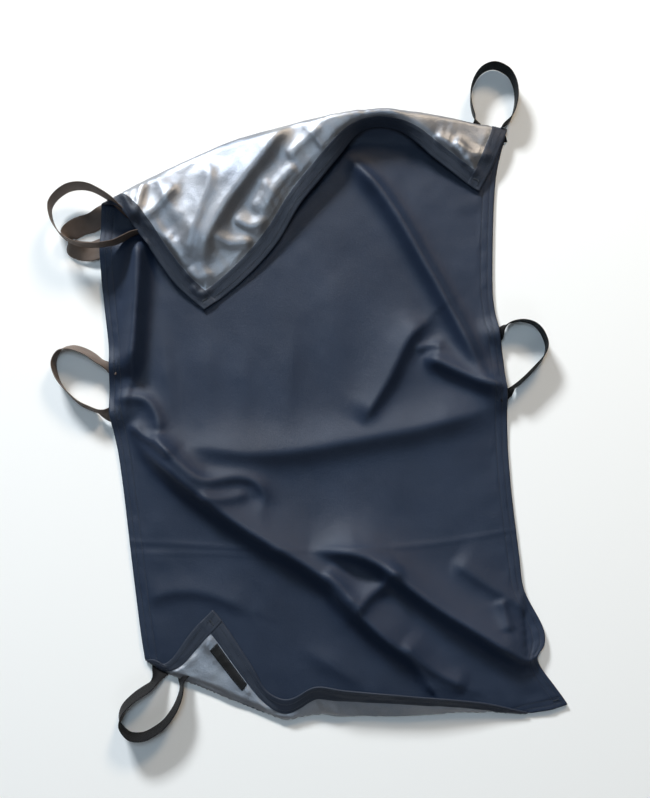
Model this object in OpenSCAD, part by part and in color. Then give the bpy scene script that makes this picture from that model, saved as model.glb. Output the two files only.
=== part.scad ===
// Two-layer rectangular cover sheet with webbing loops, lying on a floor with three corners
// folded over. Millimetres, +Z up, +X right, +Y along the sheet towards its folded top end.
// The origin is the middle of the sheet's underside, which rests on the floor.

/* [Sheet as it lies] */
// Distance between the two long edges at mid length
laid_w = 484; // [470:1:500]
// Distance from the bottom edge to the apex of the folded top end
laid_l = 756; // [740:1:772]
// Thickness of the dark outer cloth
shell_t = 0.8; // [0.6:0.1:1]
// Thickness of the silver lining, its hems and the sewn-in webbing ends
lining_t = 1.2; // [1:0.1:1.4]
// Width of the turned hems
hem_w = 20; // [18:1:24]

/* [Folded corners] */
// Inner radius of the roll along the top-left fold
left_roll_r = 9; // [8:0.5:10]
// Inner radius of the roll along the top-right fold
right_roll_r = 6; // [5:0.5:7]
// Inner radius of the roll along the bottom-left fold
bottom_roll_r = 4; // [3.5:0.5:5]

/* [Stitching] */
// Distance of the outer stitch row from the sheet's edge
outer_row = 7; // [6:0.5:8]
// Distance of the inner stitch row from the sheet's edge
inner_row = 15.5; // [14:0.5:16.5]
// Width of a sewn row of thread
thread_w = 0.6; // [0.4:0.1:0.8]

/* [Webbing loops] */
// Width of the webbing
web_w = 25; // [20:1:27]
// Thickness of the webbing in the loops
web_t = 1.2; // [1:0.1:1.4]
// Depth to which a webbing end is sewn into the hem
anchor_d = 16; // [14:1:17]

/* [Label] */
// Length of the blank woven label
label_l = 58; // [50:1:64]
// Width of the blank woven label
label_w = 12; // [10:1:14]

/* [Hidden] */

hw = laid_w / 2;
hl = laid_l / 2;
panel_top = lining_t + shell_t;
thread_t = 0.4;
// The rolls, the panel and the flaps of one cloth are separate solids with this clearance
seam_gap = 0.04;

// Corners of the sheet as it lies: the ends of the three folds and the corner left flat
left_fold_end = [-hw - 8, 290];
apex = [92, hl];
right_fold_end = [hw + 36, 348];
flat_corner = [hw + 24, -hl];
bottom_fold_end = [-78, -hl + 11];
side_fold_end = [-hw + 13, -289];

// The same corners of the cloth, on the folded flaps
left_tip = [-131, 145];
right_tip = [235, 270];
bottom_tip = [-148, -232];

// Long edges as they lie, from bottom to top
left_edge = [side_fold_end, [-hw, -163], [-hw - 9, -27], [-hw - 10, 130], left_fold_end];
right_edge = [flat_corner, [hw + 8, -300], [hw - 11, -230], [hw - 12, 124], [hw + 5, 268],
    right_fold_end];
bottom_edge = [bottom_fold_end, [60, -hl + 2], flat_corner];

// A fold: its two ends with the panel on the right-hand side, the roll's inner radius and the
// angle by which the flap slopes back down to the panel
left_fold = [left_fold_end, apex, left_roll_r, 5];
right_fold = [apex, right_fold_end, right_roll_r, 6];
bottom_fold = [bottom_fold_end, side_fold_end, bottom_roll_r, 3];
// Space kept between neighbouring rolls at the apex
apex_gap = 6;

// Webbing ends: middle of the end at the sheet's edge, and the angle of the way out
left_flap_roots = [for (s = [26, 66]) toward(left_fold_end, left_tip, s)];
flap_out = 219.4;
top_left_roots = [[-hw - 8.5, 266], [-hw - 8.8, 222]];
middle_left_roots = [[-hw - 9.6, 85], [-hw - 9.3, 22]];
bottom_left_roots = [[-213.5, -297], [-186.5, -310.8]];
bottom_out = 243;
top_right_roots = [[264, 350.2], [237.5, 354.2]];
top_out = 81.4;
middle_right_roots = [[hw - 11.9, 86], [hw - 11.9, -9]];
// Reach of a sewn end past a fold line, under the roll and clear of it
under_roll_left = bottom_roll_r + panel_top + 1.5;
under_roll_right = right_roll_r + panel_top + 1.5;

// ---- Small helpers ----
function unit(v) = v / norm(v);
function dir2(a) = [cos(a), sin(a)];
function flip(p) = [for (i = [len(p) - 1 : -1 : 0]) p[i]];
function shift(points, by) = [for (p = points) p + by];
function smooth(t) = let (c = min(max(t, 0), 1)) c * c * (3 - 2 * c);

// Closed outline of the band between two distances from an edge line, inwards along a direction
function strip(line, inward, from, to) =
    concat(shift(line, inward * from), flip(shift(line, inward * to)));

// ---- Regions of the laid sheet ----
module main_region() polygon(concat(left_edge, [apex], flip(right_edge), [bottom_fold_end]));
function toward(p, q, d) = p + unit(q - p) * d;
function left_flap_outline() =
    [left_fold_end, toward(apex, left_fold_end, apex_gap), toward(apex, left_tip, apex_gap), left_tip];
function right_flap_outline() =
    [toward(apex, right_fold_end, apex_gap), right_fold_end, right_tip, toward(apex, right_tip, apex_gap)];
function bottom_flap_outline() = [bottom_fold_end, side_fold_end, bottom_tip];

// Unit vector pointing into a flap from its edge p to q, the flap being on the left-hand side
function inward(p, q) = let (u = unit(q - p)) [-u.y, u.x];

// Hem bands as laid, between two distances from the edge; past = overlap beyond the ends
module left_band(a, b) polygon(strip(left_edge, [1, 0], a, b));
module right_band(a, b) polygon(strip(right_edge, [-1, 0], a, b));
module bottom_band(a, b) polygon(strip(bottom_edge, [0, 1], a, b));
module edge_band(p, q, a, b, past = 0) {
    n = inward(p, q);
    u = unit(q - p) * past;
    polygon(strip([p - u, q + u], n, a, b));
}
module left_flap_side(a, b, past = 0) edge_band(left_fold_end, left_tip, a, b, past);
module left_flap_top(a, b, past = 0) edge_band(left_tip, apex, a, b, past);
module right_flap_side(a, b, past = 0) edge_band(right_tip, right_fold_end, a, b, past);
module right_flap_top(a, b, past = 0) edge_band(apex, right_tip, a, b, past);
module bottom_flap_side(a, b, past = 0) edge_band(bottom_tip, side_fold_end, a, b, past);
module bottom_flap_end(a, b, past = 0) edge_band(bottom_fold_end, bottom_tip, a, b, past);
// A whole hem on a flap, run past its ends so that it can be cut to the flap
past_end = 9;
module hem_of(side) {
    if (side == "left") left_flap_side(-1, hem_w, past_end);
    if (side == "left top") left_flap_top(-1, hem_w, past_end);
    if (side == "right") right_flap_side(-1, hem_w, past_end);
    if (side == "right top") right_flap_top(-1, hem_w, past_end);
    if (side == "bottom side") bottom_flap_side(-1, hem_w, past_end);
    if (side == "bottom") bottom_flap_end(-1, hem_w, past_end);
}

// ---- Placing layers on the panel, on a flap and round a roll ----
module on_panel(z, t) translate([0, 0, z]) linear_extrude(t) children();

// Height of a roll's axis
function roll_axis_z(fold) = panel_top + fold[2];

// A layer of the flap: r is its distance from the roll's axis
module on_flap(fold, r, t) {
    p = fold[0];
    a = atan2(fold[1].y - p.y, fold[1].x - p.x);
    translate([p.x, p.y, roll_axis_z(fold)]) rotate([0, 0, a]) rotate([fold[3], 0, 0])
        rotate([0, 0, -a]) translate([-p.x, -p.y, r]) linear_extrude(t) children();
}

// Where a point of the laid flap lies in space
function flap_point(fold, p, r) =
    let (u = unit(fold[1] - fold[0]), n = [u.y, -u.x], v = p - fold[0], d = v * n, tilt = fold[3],
        reach = d * cos(tilt) + r * sin(tilt), at_fold = fold[0] + u * (v * u))
    [at_fold.x + n.x * reach, at_fold.y + n.y * reach, roll_axis_z(fold) + r * cos(tilt) - d * sin(tilt)];

// A layer bent round the roll, between two distances along the fold
module round_roll(fold, r, t, from, to) {
    p = fold[0];
    a = atan2(fold[1].y - p.y, fold[1].x - p.x);
    far = 3 * (r + t);
    translate([p.x, p.y, roll_axis_z(fold)]) rotate([0, 0, a]) translate([from, 0, 0])
        rotate([90, 0, 90]) linear_extrude(to - from) intersection() {
            difference() {
                circle(r + t, $fn = 96);
                circle(r, $fn = 96);
            }
            polygon([[seam_gap, 0], [seam_gap, -far], [far, -far], [far, far],
                [seam_gap * cos(fold[3]) - far * sin(fold[3]),
                    seam_gap * sin(fold[3]) + far * cos(fold[3])]]);
        }
}
function fold_len(fold) = norm(fold[1] - fold[0]);
function shell_r(fold) = fold[2];
function lining_r(fold) = fold[2] + shell_t;
function thread_r(fold) = fold[2] + panel_top;

// ---- Webbing ends sewn into the hems ----
// Flat outline of a webbing end: it reaches anchor_d inwards and past outwards
module end_outline(root, out, past) translate(root) rotate(out) translate([-anchor_d, -web_w / 2])
    square([anchor_d + past, web_w]);
module ends(roots, out, past) for (r = roots) end_outline(r, out, past);
module side_ends() {
    ends(top_left_roots, 180, 0);
    ends(middle_left_roots, 180, 0);
    ends(middle_right_roots, 0, 0);
}
module rolled_ends() {
    ends(bottom_left_roots, bottom_out, under_roll_left);
    ends(top_right_roots, top_out, under_roll_right);
}
// Space cut for the webbing ends in the layer that lies on the floor
module end_pockets() on_panel(-1, panel_top + 1) {
    side_ends();
    rolled_ends();
}

// ---- Cloth ----
module shell_panel() color([0.13, 0.17, 0.23]) {
    on_panel(lining_t, shell_t) main_region();
    on_flap(left_fold, shell_r(left_fold), shell_t) polygon(left_flap_outline());
    on_flap(right_fold, shell_r(right_fold), shell_t) polygon(right_flap_outline());
    on_flap(bottom_fold, shell_r(bottom_fold), shell_t) polygon(bottom_flap_outline());
    round_roll(left_fold, shell_r(left_fold), shell_t, 0, fold_len(left_fold) - apex_gap);
    round_roll(right_fold, shell_r(right_fold), shell_t, apex_gap, fold_len(right_fold));
    round_roll(bottom_fold, shell_r(bottom_fold), shell_t, 0, fold_len(bottom_fold));
}

module silver_lining() color([0.72, 0.73, 0.75]) difference() {
    union() {
        on_panel(0, lining_t) difference() {
            main_region();
            left_band(-1, hem_w);
            right_band(-1, hem_w);
            bottom_band(-1, hem_w);
        }
        on_flap(left_fold, lining_r(left_fold), lining_t) difference() {
            polygon(left_flap_outline());
            hem_of("left");
            hem_of("left top");
        }
        on_flap(right_fold, lining_r(right_fold), lining_t) difference() {
            polygon(right_flap_outline());
            hem_of("right");
            hem_of("right top");
        }
        on_flap(bottom_fold, lining_r(bottom_fold), lining_t) difference() {
            polygon(bottom_flap_outline());
            hem_of("bottom side");
            hem_of("bottom");
            label_outline();
        }
        round_roll(left_fold, lining_r(left_fold), lining_t, hem_on_left, fold_len(left_fold) - apex_gap);
        round_roll(right_fold, lining_r(right_fold), lining_t, apex_gap,
            fold_len(right_fold) - hem_on_right);
        round_roll(bottom_fold, lining_r(bottom_fold), lining_t, hem_on_bottom,
            fold_len(bottom_fold) - hem_on_corner);
    }
    end_pockets();
}

// Length that each hem takes up along the fold it crosses
hem_on_left = hem_w + 1;
hem_on_right = hem_w + 5;
hem_on_bottom = hem_w + 18;
hem_on_corner = hem_w + 4;

module left_hem() color([0.10, 0.13, 0.18]) difference() {
    union() {
        on_panel(0, lining_t) intersection() {
            main_region();
            left_band(-1, hem_w);
        }
        on_flap(left_fold, lining_r(left_fold), lining_t) intersection() {
            polygon(left_flap_outline());
            hem_of("left");
        }
        on_flap(bottom_fold, lining_r(bottom_fold), lining_t) intersection() {
            polygon(bottom_flap_outline());
            hem_of("bottom side");
        }
        round_roll(left_fold, lining_r(left_fold), lining_t, 0, hem_on_left);
        round_roll(bottom_fold, lining_r(bottom_fold), lining_t,
            fold_len(bottom_fold) - hem_on_corner, fold_len(bottom_fold));
    }
    end_pockets();
    on_flap(left_fold, shell_r(left_fold), panel_top + 1) ends(left_flap_roots, flap_out, 0);
}

module right_hem() color([0.10, 0.13, 0.18]) difference() {
    union() {
        on_panel(0, lining_t) intersection() {
            main_region();
            right_band(-1, hem_w);
        }
        on_flap(right_fold, lining_r(right_fold), lining_t) intersection() {
            polygon(right_flap_outline());
            hem_of("right");
        }
        round_roll(right_fold, lining_r(right_fold), lining_t,
            fold_len(right_fold) - hem_on_right, fold_len(right_fold));
    }
    end_pockets();
}

module top_hem() color([0.10, 0.13, 0.18]) {
    on_flap(left_fold, lining_r(left_fold), lining_t) difference() {
        intersection() {
            polygon(left_flap_outline());
            hem_of("left top");
        }
        hem_of("left");
    }
    on_flap(right_fold, lining_r(right_fold), lining_t) difference() {
        intersection() {
            polygon(right_flap_outline());
            hem_of("right top");
        }
        hem_of("right");
    }
}

module bottom_hem() color([0.10, 0.13, 0.18]) {
    on_panel(0, lining_t) difference() {
        intersection() {
            main_region();
            bottom_band(-1, hem_w);
        }
        left_band(-1, hem_w);
        right_band(-1, hem_w);
    }
    on_flap(bottom_fold, lining_r(bottom_fold), lining_t) difference() {
        intersection() {
            polygon(bottom_flap_outline());
            hem_of("bottom");
        }
        hem_of("bottom side");
    }
    round_roll(bottom_fold, lining_r(bottom_fold), lining_t, 0, hem_on_bottom);
}

// ---- Stitching ----
rows = [outer_row, inner_row];
between_rows = inner_row - outer_row - thread_w - 2;
mid_rows = (inner_row + outer_row + thread_w) / 2;

// Panel without the strip next to the folds, where the flaps come close
top_clear = 12;
bottom_clear = 8;
module row_area() difference() {
    main_region();
    edge_band(apex, left_fold_end, -1, top_clear, past_end);
    edge_band(right_fold_end, apex, -1, top_clear, past_end);
    edge_band(side_fold_end, bottom_fold_end, -1, bottom_clear, past_end);
}

module left_hem_stitching() color([0.05, 0.06, 0.08]) for (d = rows) {
    on_panel(panel_top, thread_t) intersection() {
        row_area();
        left_band(d, d + thread_w);
    }
    on_flap(left_fold, thread_r(left_fold), thread_t) intersection() {
        polygon(left_flap_outline());
        left_flap_side(d, d + thread_w);
    }
    on_flap(bottom_fold, thread_r(bottom_fold), thread_t) intersection() {
        polygon(bottom_flap_outline());
        bottom_flap_side(d, d + thread_w);
    }
}

module right_hem_stitching() color([0.05, 0.06, 0.08]) for (d = rows) {
    on_panel(panel_top, thread_t) intersection() {
        row_area();
        right_band(d, d + thread_w);
    }
    on_flap(right_fold, thread_r(right_fold), thread_t) intersection() {
        polygon(right_flap_outline());
        right_flap_side(d, d + thread_w);
    }
}

module top_hem_stitching() color([0.05, 0.06, 0.08]) for (d = rows) {
    on_flap(left_fold, thread_r(left_fold), thread_t) difference() {
        intersection() {
            polygon(left_flap_outline());
            left_flap_top(d, d + thread_w);
        }
        hem_of("left");
    }
    on_flap(right_fold, thread_r(right_fold), thread_t) difference() {
        intersection() {
            polygon(right_flap_outline());
            right_flap_top(d, d + thread_w);
        }
        hem_of("right");
    }
}

module bottom_hem_stitching() color([0.05, 0.06, 0.08]) for (d = rows) {
    on_panel(panel_top, thread_t) difference() {
        intersection() {
            row_area();
            bottom_band(d, d + thread_w);
        }
        left_band(-1, hem_w);
        right_band(-1, hem_w);
    }
    on_flap(bottom_fold, thread_r(bottom_fold), thread_t) difference() {
        intersection() {
            polygon(bottom_flap_outline());
            bottom_flap_end(d, d + thread_w);
        }
        hem_of("bottom side");
    }
}

// A bar tack lies between the two stitch rows, where a side hem crosses an end hem
tack_l = between_rows;
tack_w = 2;
module tack(corner, along) translate(corner) rotate(atan2(along.y, along.x))
    translate([-tack_l / 2, -tack_w / 2]) square([tack_l, tack_w]);
function corner_point(tip, p, q, d) = tip + unit(p - tip) * d + unit(q - tip) * d;
tack_shift = 2.5;
module corner_bar_tacks() color([0.04, 0.05, 0.06]) {
    on_flap(left_fold, thread_r(left_fold), thread_t)
        tack(corner_point(left_tip, left_fold_end, apex, mid_rows), apex - left_tip);
    on_flap(right_fold, thread_r(right_fold), thread_t)
        tack(corner_point(right_tip, right_fold_end, apex, mid_rows), apex - right_tip);
    on_flap(bottom_fold, thread_r(bottom_fold), thread_t)
        tack(corner_point(bottom_tip, side_fold_end, bottom_fold_end, mid_rows),
            bottom_fold_end - bottom_tip);
    on_panel(panel_top, thread_t) tack(flat_corner + [-mid_rows - tack_shift, mid_rows], [1, 0]);
}

// A square frame of thread on the panel over each webbing end in the long hems
frame_l = 16;
module thread_frame(root, inward_x) translate(root + [inward_x * mid_rows, 0]) difference() {
    square([between_rows, frame_l], center = true);
    square([between_rows - 2 * thread_w, frame_l - 2 * thread_w], center = true);
}
module anchor_box_stitching() color([0.05, 0.06, 0.08]) on_panel(panel_top, thread_t) {
    for (r = middle_left_roots) thread_frame(r, 1);
    for (r = middle_right_roots) thread_frame(r, -1);
}

// ---- Label, sewn along the inner edge of the bottom hem on the folded corner ----
label_start = 34;
module label_outline(inset = 0) {
    p = bottom_tip;
    q = bottom_fold_end;
    u = unit(q - p);
    n = [u.y, -u.x];
    translate(p + u * label_start + n * (hem_w + 1 + label_w)) rotate(atan2(u.y, u.x))
        translate([inset, inset]) square([label_l - 2 * inset, label_w - 2 * inset]);
}
module blank_label() color([0.06, 0.06, 0.07])
    on_flap(bottom_fold, lining_r(bottom_fold), lining_t) label_outline();
module label_stitching() color([0.16, 0.17, 0.19])
    on_flap(bottom_fold, thread_r(bottom_fold), thread_t) difference() {
        label_outline(1.2);
        label_outline(1.2 + thread_w);
    }

// ---- Webbing ends ----
module anchors_top_left_flap() color([0.07, 0.07, 0.08])
    on_flap(left_fold, lining_r(left_fold), lining_t) intersection() {
        ends(left_flap_roots, flap_out, 0);
        polygon(left_flap_outline());
    }
module panel_ends(roots, out) color([0.07, 0.07, 0.08]) on_panel(0, lining_t) intersection() {
    ends(roots, out, 0);
    main_region();
}
module anchors_top_left() panel_ends(top_left_roots, 180);
module anchors_middle_left() panel_ends(middle_left_roots, 180);
module anchors_middle_right() panel_ends(middle_right_roots, 0);
module anchors_bottom_left() color([0.07, 0.07, 0.08])
    on_panel(0, lining_t) ends(bottom_left_roots, bottom_out, under_roll_left);
module anchors_top_right() color([0.07, 0.07, 0.08])
    on_panel(0, lining_t) ends(top_right_roots, top_out, under_roll_right);

// ---- Free loops ----
// Each loop is one band of webbing. Its points give the middle line's x and y and the height of
// its lower edge. It leaves the hem flat and twists until it stands on edge.
loop_gap = 0.4;
samples = 3;

// Smooth curve through the points, with samples steps for each stretch
function at(p, i) = p[min(max(i, 0), len(p) - 1)];
function spline(p) = [for (i = [0 : len(p) - 2], k = [0 : samples - 1 + (i == len(p) - 2 ? 1 : 0)])
    let (t = k / samples, a = at(p, i - 1), b = p[i], c = p[i + 1], d = at(p, i + 2))
    0.5 * ((2 * b) + (c - a) * t + (2 * a - 5 * b + 4 * c - d) * t * t
        + (3 * b - a - 3 * c + d) * t * t * t)];
// Way along the band, straight out of the hem and straight back into it at the ends
function tangent(p, i, out) = i == 0 ? out : i == len(p) - 1 ? -out
    : let (d = at(p, i + 1) - at(p, i - 1)) unit([d.x, d.y, 0]);

// Direction across the band: along the hem at both ends, leaning over in between
function across(p, i, out, lean, twist) =
    let (t = tangent(p, i, out), n = len(p) - 1, s = smooth(min(i, n - i) / twist),
        side = i < n / 2 ? 1 : -1, free = lean - (lean * t) * t,
        flat = cross(t, [0, 0, 1]) * side)
    unit(unit(free) * s + unit(flat) * (1 - s));

// The band as one closed surface, four corners to a ring
module band(points, way_out, lean = [0, 0, 1], twist = 6) {
    out = [cos(way_out), sin(way_out), 0];
    p = spline(points);
    n = len(p);
    rings = [for (i = [0 : n - 1])
        let (w = across(p, i, out, lean, twist), t = tangent(p, i, out), f = unit(cross(w, t)),
            c = p[i] + [0, 0, abs(w.z) * web_w / 2 + web_t / 2 * (1 - abs(w.z))])
        each [c + w * web_w / 2 + f * web_t / 2, c - w * web_w / 2 + f * web_t / 2,
            c - w * web_w / 2 - f * web_t / 2, c + w * web_w / 2 - f * web_t / 2]];
    sides = [for (i = [0 : n - 2], k = [0 : 3])
        let (a = 4 * i + k, b = 4 * i + (k + 1) % 4) each [[a, b, a + 4], [b, b + 4, a + 4]]];
    end = 4 * (n - 1);
    caps = [[0, 2, 1], [0, 3, 2], [end, end + 1, end + 2], [end, end + 2, end + 3]];
    color([0.07, 0.07, 0.08]) polyhedron(points = rings, faces = concat(sides, caps));
}

module loop_middle_left() band([[-hw - 10.5, 85, 0], [-258, 85.5, 0], [-268, 92, 0],
    [-279, 104, 0], [-294, 109, 0], [-309, 105, 0], [-320, 92, 0], [-322, 74, 0], [-316, 58, 0],
    [-302, 44, 0], [-284, 31, 0], [-268, 23, 0], [-258, 22, 0], [-hw - 10.5, 22, 0]], 180);
module loop_middle_right() band([[hw - 11, 86, 0], [237, 86.5, 0], [247, 91, 0], [258, 94, 0],
    [271, 93, 0], [284, 84, 0], [292, 70, 0], [292, 52, 0], [284, 35, 0], [268, 16, 0], [252, 0, 0],
    [244, -7, 0], [237, -9, 0], [hw - 11, -9, 0]], 0);
module loop_top_left() band([[-hw - 9.5, 266, 0], [-258, 266.5, 0], [-270, 266, 0], [-284, 262, 0],
    [-296, 254, 0], [-302, 245, 0], [-300, 234, 0], [-290, 226, 0], [-274, 222, 0], [-260, 221.5, 0],
    [-hw - 9.6, 222, 0]], 180, [0, 0.2, 0.98]);
flap_loop_ends = [for (r = left_flap_roots)
    flap_point(left_fold, r + dir2(flap_out) * loop_gap, lining_r(left_fold))];
module loop_top_left_flap() band([flap_loop_ends[0], [-239, 265.4, 19], [-245, 262.6, 20],
    [-251, 266, 21], [-252.5, 275, 21], [-258, 291, 21], [-274, 305, 20], [-294, 309, 17],
    [-311, 301, 15], [-320, 283, 16], [-317, 262, 22], [-306, 247, 26], [-290, 237, 26.5],
    [-270, 233.5, 26], [-250, 231, 24], [-232, 230, 20], [-217, 232, 17.5], flap_loop_ends[1]],
    flap_out, twist = 4);
module loop_bottom_left() band([[-217.1, -304.0, 0], [-219.6, -309, 0], [-230, -317, 0],
    [-247, -326, 0], [-262, -339, 0], [-266, -355, 0], [-256, -369, 0], [-237, -374, 0],
    [-218, -368, 0], [-203, -352, 0], [-194, -334, 0], [-192.2, -322, 0], [-190.1, -317.9, 0]],
    bottom_out);
module loop_top_right() band([[265.5, 360.1, 0], [266.3, 365, 0], [275, 374, 0], [287, 389, 0],
    [291, 407, 0], [284, 424, 0], [268, 433, 0], [251, 428, 0], [238, 413, 0], [232, 395, 0],
    [234, 379, 0], [239.6, 368.5, 0], [239.0, 364.1, 0]], top_out);

shell_panel();
silver_lining();
left_hem();
right_hem();
top_hem();
bottom_hem();
left_hem_stitching();
right_hem_stitching();
top_hem_stitching();
bottom_hem_stitching();
corner_bar_tacks();
anchor_box_stitching();
blank_label();
label_stitching();
anchors_top_left_flap();
anchors_top_left();
anchors_middle_left();
anchors_bottom_left();
anchors_top_right();
anchors_middle_right();
loop_top_left_flap();
loop_top_left();
loop_middle_left();
loop_bottom_left();
loop_top_right();
loop_middle_right();
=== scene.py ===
"""Looks of the folded two-layer cover sheet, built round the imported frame."""
import bpy
import math
import numpy as np
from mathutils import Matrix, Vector


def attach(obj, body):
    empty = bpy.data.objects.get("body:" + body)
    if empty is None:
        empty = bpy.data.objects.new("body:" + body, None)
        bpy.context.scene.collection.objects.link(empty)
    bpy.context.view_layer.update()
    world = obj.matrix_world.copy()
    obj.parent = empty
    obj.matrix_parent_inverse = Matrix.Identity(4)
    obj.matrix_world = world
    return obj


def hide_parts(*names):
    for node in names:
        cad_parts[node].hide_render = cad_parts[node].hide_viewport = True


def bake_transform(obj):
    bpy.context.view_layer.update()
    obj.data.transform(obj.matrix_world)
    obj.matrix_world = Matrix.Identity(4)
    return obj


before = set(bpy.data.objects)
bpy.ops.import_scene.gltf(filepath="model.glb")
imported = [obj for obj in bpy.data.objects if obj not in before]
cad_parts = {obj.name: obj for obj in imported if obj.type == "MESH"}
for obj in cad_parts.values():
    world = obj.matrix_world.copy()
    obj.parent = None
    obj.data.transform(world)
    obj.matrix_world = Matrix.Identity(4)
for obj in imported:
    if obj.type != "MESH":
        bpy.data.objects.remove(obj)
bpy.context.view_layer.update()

# ---------------- the sheet as it was cut, in mm
SHEET_W, SHEET_L = 520.0, 870.0

# Places of the laid cloth: (across, along) on the flat sheet, then x, y, z where that spot lies
LEFT_EDGE = [(0, 613, -259, 217, 8), (0, 475, -254, 85, 4), (0, 411, -258, 21, 6),
             (0, 361, -251, -27, 4), (0, 225, -242, -163, 3)]
RIGHT_EDGE = [(520, 717, 257, 293, 4), (520, 658, 246, 234, 4), (520, 597, 238, 174, 4),
              (520, 545, 233, 122, 5), (520, 505, 235, 85, 8), (520, 460, 237, 37, 7),
              (520, 412, 235, -9, 4), (520, 352, 230, -69, 3),
              (520, 216, 229, -205, 4), (520, 180, 229, -241, 6), (520, 123, 249, -293, 12),
              (520, 106, 247, -310, 9), (520, 86, 234, -319, 3), (520, 45, 249, -350, 3)]
TOP_FOLD = [(0, 674, -252, 285, 18), (56, 697, -194, 314, 22), (102, 716, -148, 332, 24),
            (166, 748, -82, 356, 25), (248, 792, 5, 371, 30), (329, 833, 93, 376, 38),
            (386, 826, 148, 373, 32), (443, 807, 202, 363, 22), (484, 787, 240, 352, 16),
            (520, 772, 275, 344, 11)]
BOTTOM_FOLD = [(0, 110, -233, -284, 3), (45, 84, -187, -311, 4), (92, 54, -132, -340, 4),
               (137, 28, -77, -365, 4), (217, 38, -6, -370, 6), (297, 45, 66, -375, 6),
               (350, 38, 113, -377, 6), (403, 27, 161, -378, 5), (438, 16, 193, -381, 4),
               (468, 0, 221, -385, 3), (496, 0, 246, -384, 3), (520, 0, 266, -379, 2)]
TOP_FLAP = [(0, 701, -229, 280, 30), (0, 733, -212, 252, 27), (0, 768, -193, 221, 20),
            (0, 821, -166, 175, 11), (0, 870, -132, 140, 5), (25, 870, -111, 152, 6),
            (73, 870, -71, 181, 8), (130, 870, -29, 222, 12), (181, 870, 0, 264, 18),
            (221, 870, 28, 293, 20), (270, 870, 60, 326, 22), (303, 870, 80, 350, 20),
            (318, 870, 91, 357, 18), (343, 870, 113, 358, 18), (365, 870, 132, 353, 18),
            (270, 850, 48, 340, 33), (303, 850, 74, 358, 36), (330, 850, 102, 364, 38),
            (365, 850, 135, 360, 36), (397, 850, 160, 347, 30),
            (397, 870, 151, 336, 20), (431, 870, 171, 315, 17), (478, 870, 201, 289, 12),
            (520, 870, 230, 265, 5), (520, 800, 267, 329, 15), (520, 835, 250, 295, 10)]
BOTTOM_FLAP = [(0, 97, -220, -280, 8), (0, 87, -212, -295, 6), (0, 66, -196, -281, 7),
               (0, 46, -183, -264, 8), (0, 28, -170, -250, 8), (0, 0, -147, -232, 7),
               (10, 0, -142, -238, 8), (48, 0, -123, -270, 8), (93, 0, -102, -307, 8),
               (121, 0, -92, -331, 8), (149, 0, -69, -344, 12), (175, 0, -51, -340, 16),
               (200, 0, -32, -332, 22), (235, 0, -3, -338, 25), (288, 0, 44, -347, 25),
               (365, 0, 114, -359, 20), (430, 0, 176, -371, 11),
               (200, 20, -31, -344, 14), (235, 20, -3, -350, 14), (288, 20, 45, -357, 13),
               (365, 20, 114, -367, 11)]

# Folds of the laid panel: points (x, y), height, width on the left of the line, on its right, and
# how its height fades sideways: near 1 is a sharp crest, 2 is a soft one
WRINKLES = [
    ([(58, 338), (85, 302), (109, 265), (130, 222), (147, 182), (163, 145), (175, 115), (188, 82),
      (200, 50), (210, 20)], 17, 11, 10, 1.4),
    ([(48, -26), (68, 0), (86, 24), (101, 48), (116, 73), (133, 92), (150, 104)], 12, 22, 9, 1.3),
    ([(134, 56), (157, 44), (182, 29), (210, 14), (238, 8)], 18, 20, 7, 1.2),
    ([(128, 66), (150, 70), (163, 64)], 5, 6, 4, 1.2),
    ([(-183, -29), (-137, -37), (-92, -47), (-41, -49), (5, -46), (62, -40), (120, -34), (178, -24),
      (222, -13)], 12, 30, 16, 1.5),
    ([(-237, -2), (-211, -38), (-168, -82), (-115, -130), (-73, -162), (-41, -184), (-6, -212),
      (8, -233), (28, -256), (57, -287), (77, -304), (92, -322), (103, -344)], 24, 32, 7, 1.2),
    ([(-236, 4), (-215, -16), (-198, -29), (-180, -47)], 9, 12, 5, 1.2),
    ([(-209, 0), (-192, -33), (-169, -60), (-146, -77), (-109, -75), (-85, -82), (-74, -99),
      (-79, -117)], 10, 12, 9, 1.2),
    ([(-157, -98), (-123, -101), (-92, -96)], 5, 9, 7, 1.4),
    ([(-203, 252), (-205, 234), (-209, 195), (-214, 150), (-220, 103), (-228, 56)], 30, 7, 17, 1.2),
    ([(-254, 33), (-229, 36), (-209, 29), (-198, 8), (-197, -15)], 11, 8, 14, 1.2),
    ([(-30, -172), (23, -182), (49, -193), (72, -210), (99, -236), (130, -262), (167, -289),
      (198, -312), (221, -325), (241, -317)], 25, 28, 7, 1.2),
    ([(86, -202), (62, -220), (40, -234), (22, -254)], 9, 6, 12, 1.2),
    ([(200, -248), (203, -269), (206, -290)], 6, 5, 9, 1.2),
    ([(-12, -198), (8, -219), (26, -244)], 6, 9, 5, 1.2),
    ([(-234, -215), (-191, -207), (-149, -214), (-103, -238)], 4, 18, 8, 1.5),
    ([(-130, 173), (-131, 75), (-141, -30)], 3, 14, 24, 1.7),
    ([(-88, 143), (-87, 46), (-98, -40)], 2, 12, 20, 1.7),
    ([(-10, 172), (-29, 67), (-43, -40)], 3, 14, 26, 1.7),
    ([(45, 212), (28, 105), (26, 0)], 2.5, 20, 24, 2),
    ([(-190, 170), (-185, 80), (-178, -30)], 4, 14, 20, 1.6),
    ([(144, -197), (177, -225), (211, -251), (233, -271)], 6, 20, 10, 1.4),
    ([(74, -287), (106, -323), (151, -352)], 7, 12, 8, 1.3),
    ([(-58, -275), (-12, -309), (33, -342)], 4, 18, 12, 1.6),
]

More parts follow.
